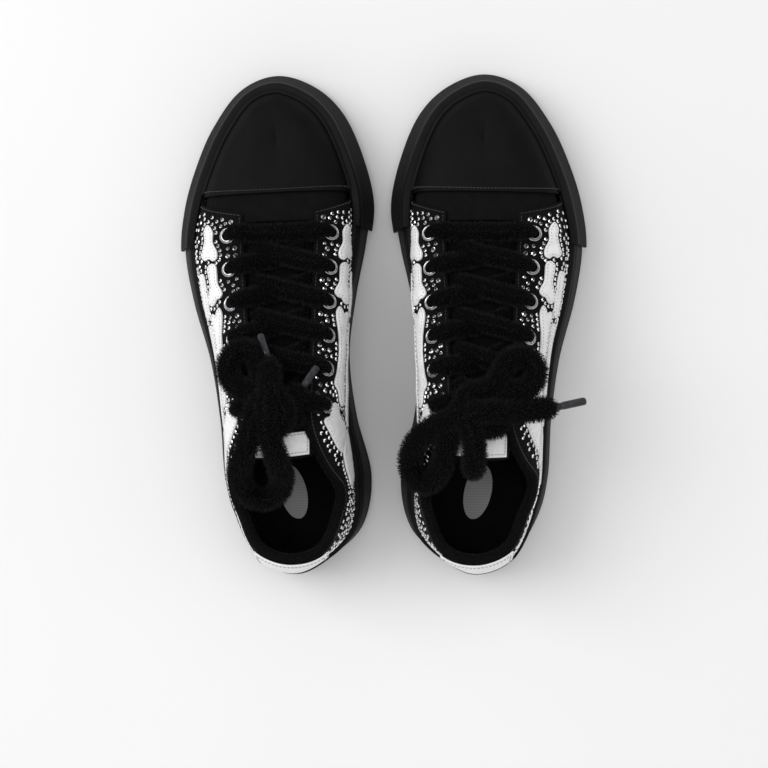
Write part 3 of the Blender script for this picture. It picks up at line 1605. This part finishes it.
# The white patches' outlines on one side of the upper, as (run from the heel, distance down from
# the edge) in millimetres.
BONES = [
    [(208.5, 14), (204, 11.2), (198, 11.5), (193, 9.5), (189, 9.8), (187.6, 12.5), (189.2, 14.5),
     (188.6, 17.5), (191.5, 19.6), (195, 18), (200, 16.3), (205, 16.5)],
    [(186.5, 13), (184.5, 10.6), (180, 10.4), (175, 10.4), (171, 8.6), (168.5, 8.2), (166.5, 10),
     (166, 12), (163.5, 14), (163, 16.5), (166, 18.6), (170, 17.2), (175, 15.6), (180, 16),
     (184.5, 16)],
    [(161.5, 11), (159.5, 13.2), (157.5, 14.2), (158.8, 16.6), (156.5, 18.6), (150, 18), (140, 18.6),
     (130, 19.2), (120, 20), (111, 22), (106.5, 22.6), (105.5, 20.5), (108, 17.5), (114, 14.8),
     (116.5, 12.2), (119, 11.4), (125, 12.6), (135, 12.8), (145, 11.8), (152, 10.2), (158, 9.4)],
    [(107.6, 12.6), (105.5, 16), (101, 18.5), (96.5, 24), (93.5, 25.6), (90, 22), (86, 16.5),
     (81.5, 11.2), (80, 8.6), (82.5, 6.6), (88, 6.4), (93, 6.2), (97.5, 5.2), (99.5, 6.8),
     (100.5, 9.8), (104.5, 10)],
    [(182, 21.5), (180, 19.3), (168, 18.8), (158, 19.8), (155.8, 23), (158, 26), (168, 25),
     (180, 24.3)],
    [(153, 23), (150.5, 19.8), (137, 22), (120, 24.8), (109, 28), (101, 30.5), (95.5, 33.5),
     (94, 38.5), (96.5, 43), (101, 42.5), (109, 38.5), (120, 33.6), (129, 31), (145, 27.6),
     (151, 26.2)],
    [(92.5, 27), (88, 18.5), (82, 12.5), (79, 9), (70.6, 4.8), (65, 3.8), (58, 4), (57, 6.5),
     (59.6, 13), (66, 15), (69.5, 20), (79, 32), (86.5, 34), (91.5, 31)],
]
BONE_DROP = {LATERAL: 5.0, MEDIAL: 3.2}  # how much further down the patches lie on each side
BONE_BASE = QUARTER[1] + 0.02 * MM
# The patch's own section: distance in from its edge and height, in millimetres.
BONE_RIM = [(0, 0), (0.02, 0.45), (0.22, 0.85), (0.6, 1.0), (0.95, 1.0), (1.1, 0.86), (1.3, 1.0)]
BONE_PITCH = 3.5  # the patches are cut into cells this wide, so that they follow the upper


@lru_cache(maxsize=None)
def bone_lines(side):
    """Each patch's outline as a smooth, even, closed line, in millimetres."""
    lines = []
    for outline in BONES:
        smooth = [Vector((x, y + BONE_DROP[side], 0)) for x, y in smooth_loop(outline, 6)]
        lines.append(resampled(smooth, 0.9, closed=True))
    return lines


def moved_in(line, distance):
    """A closed line moved towards its inside."""
    n = len(line)
    turn = sum(a.x * b.y - b.x * a.y for a, b in zip(line, line[1:] + line[:1]))
    sign = 1 if turn > 0 else -1
    made = []
    for i, p in enumerate(line):
        way = (line[(i + 1) % n] - line[i - 1]).normalized()
        made.append(p + Vector((-way.y, way.x, 0)) * (sign * distance))
    return made


@lru_cache(maxsize=None)
def bones_shape(side):
    """All patches of one side: made flat in millimetres, cut into cells, laid on the upper."""
    shape = Shape()
    for line in bone_lines(side):
        made = bmesh.new()
        rings = []
        for distance, height in BONE_RIM:
            ring = moved_in(line, distance)
            rings.append([made.verts.new((p.x, p.y, height)) for p in ring])
        n = len(line)
        for a, b in zip(rings, rings[1:]):
            for i in range(n):
                made.faces.new((a[i], a[(i + 1) % n], b[(i + 1) % n], b[i]))
        made.faces.new(rings[-1])
        made.faces.new(list(reversed(rings[0])))
        for axis in (0, 1):
            low = min(p[axis] for p in line)
            high = max(p[axis] for p in line)
            normal = (1, 0, 0) if axis == 0 else (0, 1, 0)
            for i in range(1, math.ceil((high - low) / BONE_PITCH)):
                place = [0, 0, 0]
                place[axis] = low + i * BONE_PITCH
                geometry = made.verts[:] + made.edges[:] + made.faces[:]
                bmesh.ops.bisect_plane(made, geom=geometry, plane_co=place, plane_no=normal)
        made.verts.index_update()
        points = []
        for v in made.verts:
            distance = BONE_BASE + v.co.z * MM
            points.append(on_side(side, v.co.x * MM, v.co.y * MM, distance))
        flat = [(v.co.x * MM, v.co.y * MM) for v in made.verts]
        shape.add(points, [[v.index for v in f.verts] for f in made.faces], flat)
        made.free()
    return shape


@lru_cache(maxsize=None)
def bone_stitches(side):
    """Stitches in the shallow groove just inside each patch's edge."""
    spots = []
    for line in bone_lines(side):
        ring = resampled(moved_in(line, 1.1), 1.9, closed=True)
        for i, p in enumerate(ring):
            spots.append(spot_on_side(side, p.x, p.y, 0.9, ring[(i + 1) % len(ring)], 0.72))
    return spots


def spot_on_side(side, run, down, height, ahead, size):
    """A spot on one side of the upper, from places in millimetres."""
    base = QUARTER[1]
    place = on_side(side, run * MM, down * MM, base + height * MM)
    out = (place - on_side(side, run * MM, down * MM, base + (height - 1) * MM)).normalized()
    ahead_place = on_side(side, ahead.x * MM, ahead.y * MM, base + height * MM)
    return place, out, ahead_place - place, size


def build_bones(shoe, side):
    """One side's white leather patches and their stitches."""
    name = f"bones_{SIDE_NAME[side]}"
    shoe_piece(shoe, name, bones_shape(side), white_leather())
    name = f"bone_stitches_{SIDE_NAME[side]}"
    copies(shoe, name, bone_stitches(side), stitch_shape(), grey_thread())


# ---- stones -------------------------------------------------------------------------------------

# All in millimetres.
SMALL_STONE = 2.1
LARGE_STONE = 2.75
STONE_GAP = 0.55
EDGE_MARGIN = 3.2  # bare canvas under the stay's edge, and along the front
COLLAR_MARGIN = 2.6
FLANGE = 5.1  # bare canvas round an eyelet's middle
FIRST_STONE = 17.0  # where the stones begin, in front of the heel strip
DEPTHS = 240  # the upper's depth is measured at each millimetre of this run
CELL = 4.0
DARTS = 60000  # how many random places are tried


def stone_field(side):
    """(run, down, size) of each stone in millimetres: rows round the patches, then the rest."""
    drawn = random.Random(7 + side)
    lines = [[(p.x, p.y) for p in line] for line in bone_lines(side)]
    beyond = SMALL_STONE / 2 + STONE_GAP
    wide = [[(p.x, p.y) for p in moved_in(line, -beyond)] for line in bone_lines(side)]
    holes = []
    for x, y in EYELETS:
        k = step_at(side, y)
        place = over_instep(side * x, y, 0)
        holes.append((run_at(side, y) / MM, (place - to_edge(side, k, 1)).length / MM))
    front_top, front_low = (run_at(side, y) / MM for y in reversed(QUARTER_FRONT))
    collar_run = run_at(side, foot(side, COLLAR_STEP)[1].y) / MM
    depth = {}
    for run in range(DEPTHS):
        depth[run] = arch_lengths(side, round(step_of_run(side, run * MM), 3))[-1] / MM
    placed = []
    cells = {}

    def fits(run, down, size, bones):
        deep = depth[min(max(int(run), 0), DEPTHS - 1)]
        margin = size / 2 + 0.4
        top = COLLAR_MARGIN if run > collar_run else EDGE_MARGIN
        if down < top + margin or down > deep - margin - 1.2 or run < FIRST_STONE:
            return False
        if run > lerp(front_top, front_low, down / deep) - EDGE_MARGIN - margin:
            return False
        if any(math.hypot(run - a, down - b) < FLANGE + margin for a, b in holes):
            return False
        ci, cj = int(run // CELL), int(down // CELL)
        for i in (ci - 1, ci, ci + 1):
            for j in (cj - 1, cj, cj + 1):
                for a, b, other in cells.get((i, j), ()):
                    if math.hypot(run - a, down - b) < (size + other) / 2 + STONE_GAP:
                        return False
        return not any(inside(run, down, line) for line in bones)

    def put(run, down, size):
        placed.append((run, down, size))
        cells.setdefault((int(run // CELL), int(down // CELL)), []).append((run, down, size))

    for line in bone_lines(side):
        ring = moved_in(line, -(SMALL_STONE / 2 + 0.6))
        for p in resampled(ring, SMALL_STONE + STONE_GAP + 0.1, closed=True):
            if fits(p.x, p.y, SMALL_STONE, lines):
                put(p.x, p.y, SMALL_STONE)
    for _ in range(DARTS):
        run = drawn.uniform(FIRST_STONE, front_low)
        down = drawn.uniform(EDGE_MARGIN, 60)
        near_stay = run > collar_run and down < 10.5
        size = LARGE_STONE if near_stay and drawn.random() < 0.7 else SMALL_STONE
        if fits(run, down, size, wide):
            put(run, down, size)
    return placed


@lru_cache(maxsize=None)
def stone_spots(side):
    """The stones of one side as spots, each turned at random."""
    spots = []
    turns = random.Random(11 + side)
    for run, down, size in stone_field(side):
        a = turns.uniform(0, math.pi)
        ahead = Vector((run + math.cos(a), down + math.sin(a), 0))
        spots.append(spot_on_side(side, run, down, 0.05, ahead, size * MM))
    return spots


def stone_shape():
    """A round faceted stone of width 1: girdle, eight crown facets and a flat table."""
    rings = [(0.42, -0.08), (0.5, 0.04), (0.5, 0.12), (0.27, 0.34)]
    sections = []
    for radius, z in rings:
        ring = []
        for a in spread(0, 2 * math.pi, 8)[:-1]:
            ring.append(Vector((radius * math.cos(a), radius * math.sin(a), z)))
        sections.append(ring)
    return Shape().add_skin(sections, around=True)


def build_stones(shoe, side):
    """One side's set stones."""
    name = f"stones_{SIDE_NAME[side]}"
    piece = copies(
        shoe, name, stone_spots(side), stone_shape(), crystal(), flat_faces=True,
    )
    paint_tables(piece.data)


def paint_tables(mesh):
    """Marks each stone's flat table, its only face with eight corners."""
    table = mesh.attributes.new("table", "FLOAT", "FACE")
    for i, face in enumerate(mesh.polygons):
        table.data[i].value = 1.0 if len(face.vertices) == 8 else 0.0


# ---- heel, collar and lining ----------------------------------------------------------------------


def round_heel(reach, count):
    """(side, step) places round the heel, from one side to the other."""
    made = []
    for k in spread(-reach, reach, count):
        made.append((MEDIAL if k < 0 else LATERAL, max(abs(k), 0.001)))
    return made


def heel_shape(reach, count, section):
    """A sheet round the heel, from a section of (share up the side, distance out)."""
    sections = []
    flats = []
    for side, k in round_heel(reach, count):
        row = [lifted(to_edge, side, k, t, distance) for t, distance in section]
        sections.append(row)
        flats.append([(side * k * 25 * MM, j * 1.5 * MM) for j in range(len(row))])
    return Shape().add_skin(sections, flats, around=True)


def build_heel(shoe):
    """The white heel strip with its two rows of stitches."""
    strip_step = 1.0
    section = folded(spread(0.03, 1, 26), STRIP, 0.03)
    shape = heel_shape(strip_step, 50, section)
    shoe_piece(shoe, "heel_strip", shape, white_leather(), replaces=["heel_strip"])
    spots = []
    for side in SIDES:
        places = [(side, strip_step - 0.09, t) for t in spread(0.06, 0.95, 40)]
        spots += row_spots(rows_track(to_edge, places, STRIP[1]), STITCH_PITCH)
    top = [(side, k, 0.945) for side, k in round_heel(strip_step - 0.09, 60)]
    spots += row_spots(rows_track(to_edge, top, STRIP[1]), STITCH_PITCH)
    copies(shoe, "heel_stitches", spots, stitch_shape(), grey_thread())


LINING_REACH = 3.6  # the outline step where the lining ends on each side


def build_lining(shoe, settings):
    """The padded lining behind the collar, and the napped binding rolled over its edge."""
    inner, outer = LINING
    shares = spread(-0.85, 0.98, 30)
    section = [(t, outer) for t in shares]
    for t in reversed(shares):
        swell = 1.6 * MM * smoothstep(t, 0.15, 0.6) * (1 - 0.5 * smoothstep(t, 0.9, 1))
        section.append((t, inner - swell))
    shape = heel_shape(LINING_REACH, 130, section)
    lining = shoe_piece(
        shoe, "collar_lining", shape, lining_fabric(), replaces=["collar_lining"],
    )
    line = []
    for side, k in round_heel(COLLAR_STEP + 0.1, 150):
        line.append(lifted(to_edge, side, k, 1.0, 1.5 * MM))

    def radius_at(share):
        return 2.35 * MM * math.sqrt(clamp(min(share, 1 - share) / 0.012, 0.1, 1))

    binding_shape = Shape().add_skin(*swept(line, radius_at, 14), around=True)
    binding = shoe_piece(shoe, "collar_binding", binding_shape, lining_fabric())
    pile(
        shoe, "binding_nap", binding, plush_fibre(), 0.9 * MM,
        settings.pile_density * 1.2, 40, settings.seed + 9,
    )


# ---- tongue -------------------------------------------------------------------------------------


def instep_sheet(ends, half_at, layer_at, rows, columns):
    """A closed sheet over the instep. layer_at(y, share across) gives its inner and outer face."""
    sections = []
    flats = []
    for y in spread(*ends, rows):
        half = half_at(y)
        row = []
        flat = []
        for x in spread(-half, half, columns):
            row.append(over_instep(x, y, layer_at(y, x / half)[1]))
            flat.append((y, x))
        for x in reversed(spread(-half, half, columns)):
            row.append(over_instep(x, y, layer_at(y, x / half)[0]))
            flat.append((y, x))
        sections.append(row)
        flats.append(flat)
    return Shape().add_skin(sections, flats, around=True)


def tongue_layer(y, across):
    """The tongue's faces: fine ribs over soft filling that thins at its edges."""
    inner, outer = TONGUE
    middle = (inner + outer) / 2
    start, end = TONGUE_ENDS
    rim = math.sqrt(max(1 - abs(across) ** 5, 0.02))
    for from_end in (y - start, end - y):
        rim *= math.sqrt(clamp(from_end / (3 * MM), 0.05, 1))
    rib = 0.16 * MM * math.cos(2 * math.pi * y / (2.6 * MM))
    swell = 0.25 * MM * (1 - across * across)
    return middle - (middle - inner) * rim, middle + (outer - middle + swell + rib) * rim


@lru_cache(maxsize=None)
def tongue_shape():
    return instep_sheet(TONGUE_ENDS, lambda y: along(TONGUE_HALF, y), tongue_layer, 250, 18)


@lru_cache(maxsize=None)
def label_shape():
    inner, outer = LABEL

    def layer(y, across):
        rim = math.sqrt(max(1 - abs(across) ** 14, 0.04))
        return inner, lerp(inner + 0.3 * MM, outer, rim)

    return instep_sheet(LABEL_ENDS, lambda y: LABEL_HALF, layer, 10, 26)


def build_tongue(shoe):
    """The tongue and its blank white label, which bend together."""
    body = TONGUE_BODY[shoe]
    tongue = shoe_piece(
        shoe, "tongue", tongue_shape(), tongue_knit(), body, ["tongue"],
    )
    shoe_piece(
        shoe, "tongue_label", label_shape(), label_cloth(), body, ["tongue_label"],
    )
    margin = 1.3 * MM
    (rear, front), half = LABEL_ENDS, LABEL_HALF - margin
    corners = [
        (-half, rear + margin), (half, rear + margin), (half, front - margin),
        (-half, front - margin), (-half, rear + margin),
    ]
    track = []
    for (x0, y0), (x1, y1) in zip(corners, corners[1:]):
        for t in spread(0, 1, 16)[:-1]:
            place, out = instep(lerp(x0, x1, t), lerp(y0, y1, t))
            track.append((place + out * LABEL[1], out))
    track.append(track[0])
    spots = row_spots(track, 2.0 * MM)
    copies(shoe, "label_stitches", spots, stitch_shape(), grey_thread(), body=body)


# ---- eyelets ------------------------------------------------------------------------------------

# The eyelet's section as (radius, height), in millimetres.
EYELET_PROFILE = [
    (2.65, -1.5), (2.65, 0.15), (2.75, 0.55), (3.05, 0.82), (3.4, 0.8), (3.62, 0.5), (3.72, 0.3),
    (3.86, 0.52), (4.15, 0.6), (4.45, 0.42), (4.55, 0.05), (3.1, 0.0), (3.1, -1.5),
]


def build_eyelets(shoe):
    """Twelve two-rimmed metal eyelets, pressed into the stays."""
    ring = lathe([(r * MM, z * MM) for r, z in EYELET_PROFILE], 40)
    spots = eyelet_spots(LATERAL) + eyelet_spots(MEDIAL)
    piece = copies(shoe, "eyelets", spots, ring, eyelet_metal())
    nodes = []
    for side in SIDES:
        name = f"{shoe}_eyelet_{SIDE_NAME[side]}"
        nodes += [f"{name}_{i + 1}" for i in range(len(EYELETS))]
    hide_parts(*nodes)


# ---- stage --------------------------------------------------------------------------------------

CAMERA_PLACE = (0.0389, -0.0344, 1.071)
CAMERA_AIM = (0.00023, -0.0344, 0.0)
LENS = 88.3
FLOOR = 6.0  # half the floor's width
FLOOR_Z = -0.4 * MM


def build_camera():
    camera_data = bpy.data.cameras.new("camera")
    camera_data.lens = LENS
    camera_data.sensor_width = 36
    camera = bpy.data.objects.new("camera", camera_data)
    camera.location = CAMERA_PLACE
    way = Vector(CAMERA_AIM) - Vector(CAMERA_PLACE)
    turn = Vector((way.x, 0, way.z))
    camera.rotation_euler = (0, -math.atan2(turn.x, -turn.z), 0)
    bpy.context.scene.collection.objects.link(camera)
    bpy.context.scene.camera = camera


def build_floor():
    corners = ((-FLOOR, -FLOOR), (FLOOR, -FLOOR), (FLOOR, FLOOR), (-FLOOR, FLOOR))
    shape = Shape().add([Vector((x, y, FLOOR_Z)) for x, y in corners], [[0, 1, 2, 3]])
    return linked("floor", new_mesh("floor", shape, outward=False), pale_floor())


def build_lamps(settings):
    """A window on the left and a wide soft light overhead, both turned to the shoes."""
    lamps = []
    for name, place, energy, extent in (
        ("window_light", (-1.6, 0.5, 1.9), settings.window_power, 1.6),
        ("top_light", (0.1, 0.2, 2.6), settings.top_power, 2.4),
    ):
        lamp_data = bpy.data.lights.new(name, "AREA")
        lamp_data.energy = energy
        lamp_data.size = extent
        lamp = bpy.data.objects.new(name, lamp_data)
        lamp.location = place
        lamp.rotation_euler = (-Vector(place)).to_track_quat("-Z", "Y").to_euler()
        bpy.context.scene.collection.objects.link(lamp)
        lamps.append(lamp)
    return lamps


def build_world(settings):
    world = bpy.data.worlds.new("soft_room")
    world.use_nodes = True
    background = world.node_tree.nodes["Background"]
    background.inputs["Color"].default_value = srgb("#ffffff")
    background.inputs["Strength"].default_value = settings.room_light
    bpy.context.scene.world = world


def build_stage(settings):
    build_camera()
    floor = build_floor()
    lamps = build_lamps(settings)
    bpy.context.scene.view_settings.view_transform = "Standard"
    build_world(settings)


# ---- the add-on ---------------------------------------------------------------------------------


class CheerShoeSettings(bpy.types.PropertyGroup):
    pile_density: FloatProperty(
        name="Pile density", description="Fibres of the lace's pile on each square metre",
        default=2.4e6, min=0,
    )
    seed: IntProperty(name="Seed", description="Seed of the pile's random lean", default=3)
    window_power: FloatProperty(
        name="Window light", description="Power of the light from the left", default=26,
        subtype="POWER", unit="POWER",
    )
    top_power: FloatProperty(
        name="Top light", description="Power of the wide light overhead", default=15,
        subtype="POWER", unit="POWER",
    )
    room_light: FloatProperty(
        name="Room light", description="Strength of the even light from all round", default=0.6,
    )


def each_shoe(*builders):
    """Runs each builder for both shoes."""
    for shoe in SHOES:
        for build in builders:
            build(shoe)
    return {"FINISHED"}


def each_side(*builders):
    """Runs each builder for both sides of both shoes."""
    for shoe in SHOES:
        for side in SIDES:
            for build in builders:
                build(shoe, side)
    return {"FINISHED"}


class CHEER_OT_stage(bpy.types.Operator):
    """Makes the camera, the pale floor and the soft light"""

    bl_idname = "cheer.stage"
    bl_label = "Stage"

    def execute(self, context):
        build_stage(context.scene.cheer_shoes)
        return {"FINISHED"}


class CHEER_OT_laces(bpy.types.Operator):
    """Makes the laced runs, the bows' free ends and their tips"""

    bl_idname = "cheer.laces"
    bl_label = "Laces"

    def execute(self, context):
        settings = context.scene.cheer_shoes
        for shoe in SHOES:
            for number, side in enumerate(SIDES, 1):
                build_free_end(shoe, number, side, settings)
            build_laced_run(shoe, settings)
        return {"FINISHED"}


class CHEER_OT_soles(bpy.types.Operator):
    """Makes the outsoles, the foxing bands and the toe bumpers"""

    bl_idname = "cheer.soles"
    bl_label = "Soles"

    def execute(self, context):
        return each_shoe(build_outsole, build_foxing, build_bumper)


class CHEER_OT_insides(bpy.types.Operator):
    """Makes the sock liners and paints the pieces inside the soles"""

    bl_idname = "cheer.insides"
    bl_label = "Insides"

    def execute(self, context):
        return each_shoe(build_liner, paint_hidden_pieces)


class CHEER_OT_toes(bpy.types.Operator):
    """Makes the vamps and the toe caps"""

    bl_idname = "cheer.toes"
    bl_label = "Toes"

    def execute(self, context):
        return each_shoe(build_vamp, build_cap)


class CHEER_OT_quarters(bpy.types.Operator):
    """Makes the quarters with their lace holes and seams"""

    bl_idname = "cheer.quarters"
    bl_label = "Quarters"

    def execute(self, context):
        return each_side(build_quarter, build_seams)


class CHEER_OT_bones(bpy.types.Operator):
    """Makes the white bone patches and their stitches"""

    bl_idname = "cheer.bones"
    bl_label = "Bones"

    def execute(self, context):
        return each_side(build_bones)


class CHEER_OT_stones(bpy.types.Operator):
    """Sets the stones between the patches"""

    bl_idname = "cheer.stones"
    bl_label = "Stones"

    def execute(self, context):
        return each_side(build_stones)


class CHEER_OT_heels(bpy.types.Operator):
    """Makes the heel strips, the collar linings and their bindings"""

    bl_idname = "cheer.heels"
    bl_label = "Heels"

    def execute(self, context):
        settings = context.scene.cheer_shoes
        for shoe in SHOES:
            build_heel(shoe)
            build_lining(shoe, settings)
        return {"FINISHED"}


class CHEER_OT_tongues(bpy.types.Operator):
    """Makes the tongues and their labels"""

    bl_idname = "cheer.tongues"
    bl_label = "Tongues"

    def execute(self, context):
        return each_shoe(build_tongue)


class CHEER_OT_eyelets(bpy.types.Operator):
    """Sets the metal eyelets"""

    bl_idname = "cheer.eyelets"
    bl_label = "Eyelets"

    def execute(self, context):
        return each_shoe(build_eyelets)


OPERATORS = (
    CHEER_OT_stage, CHEER_OT_laces, CHEER_OT_soles, CHEER_OT_insides, CHEER_OT_toes,
    CHEER_OT_quarters, CHEER_OT_bones, CHEER_OT_stones, CHEER_OT_heels, CHEER_OT_tongues,
    CHEER_OT_eyelets,
)


class CHEER_PT_shoes(bpy.types.Panel):
    """The pair's settings and one button for each group of pieces"""

    bl_label = "Cheer shoes"
    bl_idname = "CHEER_PT_shoes"
    bl_space_type = "VIEW_3D"
    bl_region_type = "UI"
    bl_category = "Cheer shoes"

    def draw(self, context):
        settings = context.scene.cheer_shoes
        for name in settings.bl_rna.properties.keys():
            if name not in ("rna_type", "name"):
                self.layout.prop(settings, name)
        for operator in OPERATORS:
            self.layout.operator(operator.bl_idname)


CLASSES = (CheerShoeSettings, *OPERATORS, CHEER_PT_shoes)


def register():
    for made in CLASSES:
        bpy.utils.register_class(made)
    bpy.types.Scene.cheer_shoes = PointerProperty(type=CheerShoeSettings)


def unregister():
    del bpy.types.Scene.cheer_shoes
    for made in reversed(CLASSES):
        bpy.utils.unregister_class(made)


def main():
    """Builds every group of pieces, and notes the frame's box and the finished model's."""
    register()
    for operator in OPERATORS:
        group, name = operator.bl_idname.split(".")
        getattr(getattr(bpy.ops, group), name)()


if __name__ == "__main__":
    main()
